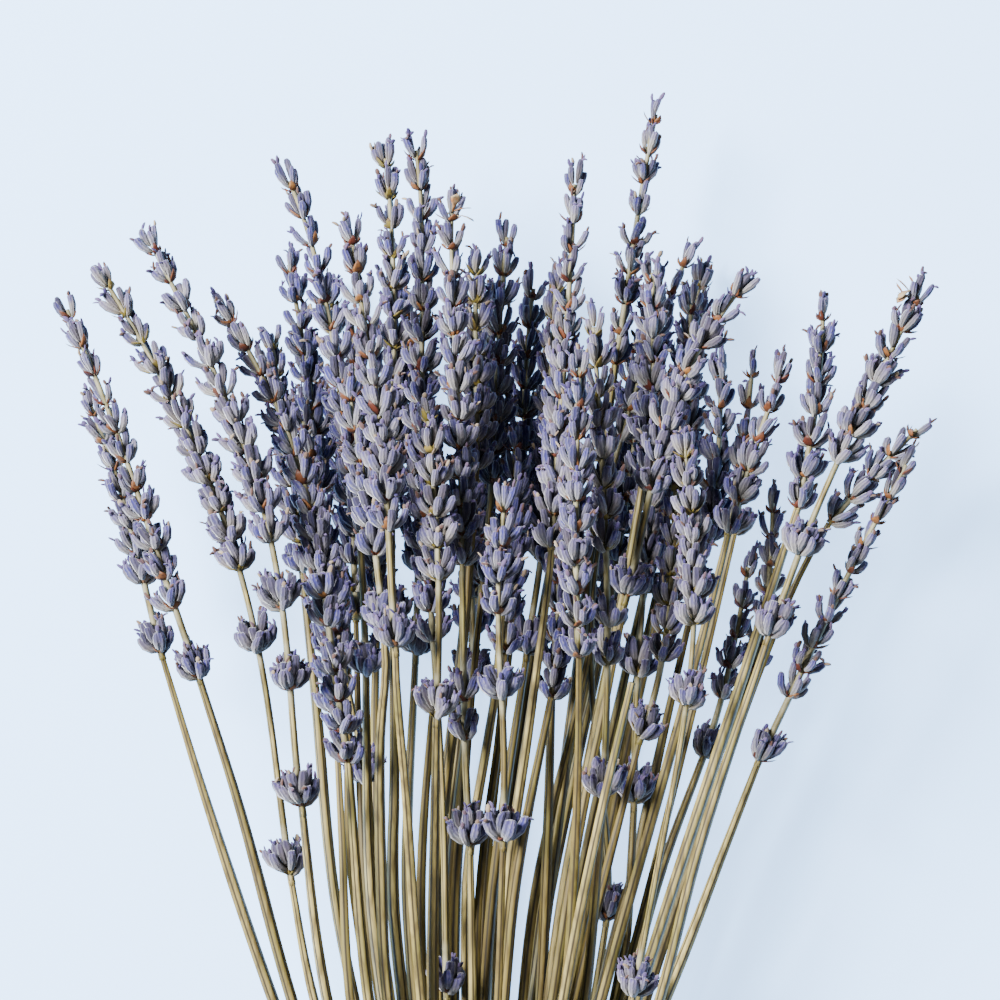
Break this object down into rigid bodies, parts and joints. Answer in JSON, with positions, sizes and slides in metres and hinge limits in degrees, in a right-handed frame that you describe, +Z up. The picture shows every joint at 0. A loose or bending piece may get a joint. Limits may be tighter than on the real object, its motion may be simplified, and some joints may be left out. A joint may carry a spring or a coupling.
{
  "type": "bunch of dried lavender",
  "caption": "Bunch of dried lavender lying on its side: straight cut stems gathered by a rubber band, fanning out to violet-grey flower heads of whorled calyxes.",
  "frame": {"origin": "centre of the bunch's bounding box in plan, on the surface it lies on", "axes": "+Y along the bunch from the cut stems to the flower tips, +X across the fan, +Z up from the surface"},
  "size_m": [0.205, 0.3816, 0.0726],
  "materials": {
    "heads": "matt, dry, finely ribbed calyxes, grey-violet with bluer tips",
    "stems": "matt, dry, square and grooved, straw to olive",
    "band": "satin tan natural rubber"
  },
  "bodies": {
    "root": {"head_01": "heads", "head_02": "heads", "head_03": "heads", "head_04": "heads", "head_05": "heads", "head_06": "heads", "head_07": "heads", "head_08": "heads", "head_09": "heads", "head_10": "heads", "head_11": "heads", "head_12": "heads", "head_13": "heads", "head_14": "heads", "head_15": "heads", "head_16": "heads", "head_17": "heads", "head_18": "heads", "head_19": "heads", "head_20": "heads", "head_21": "heads", "head_22": "heads", "head_23": "heads", "head_24": "heads", "head_25": "heads", "head_26": "heads", "head_27": "heads", "head_28": "heads", "head_29": "heads", "head_30": "heads", "head_31": "heads", "head_32": "heads", "head_33": "heads", "head_34": "heads", "head_35": "heads", "head_36": "heads", "head_37": "heads", "head_38": "heads", "head_39": "heads", "head_40": "heads", "head_41": "heads", "head_42": "heads", "head_43": "heads", "head_44": "heads", "head_45": "heads", "head_46": "heads", "head_47": "heads", "head_48": "heads", "head_49": "heads", "head_50": "heads", "head_51": "heads", "stems_1": "stems", "stems_2": "stems", "stems_3": "stems", "stems_4": "stems", "stems_5": "stems", "stems_6": "stems", "stems_7": "stems", "band": "band"}
  },
  "joints": []
}
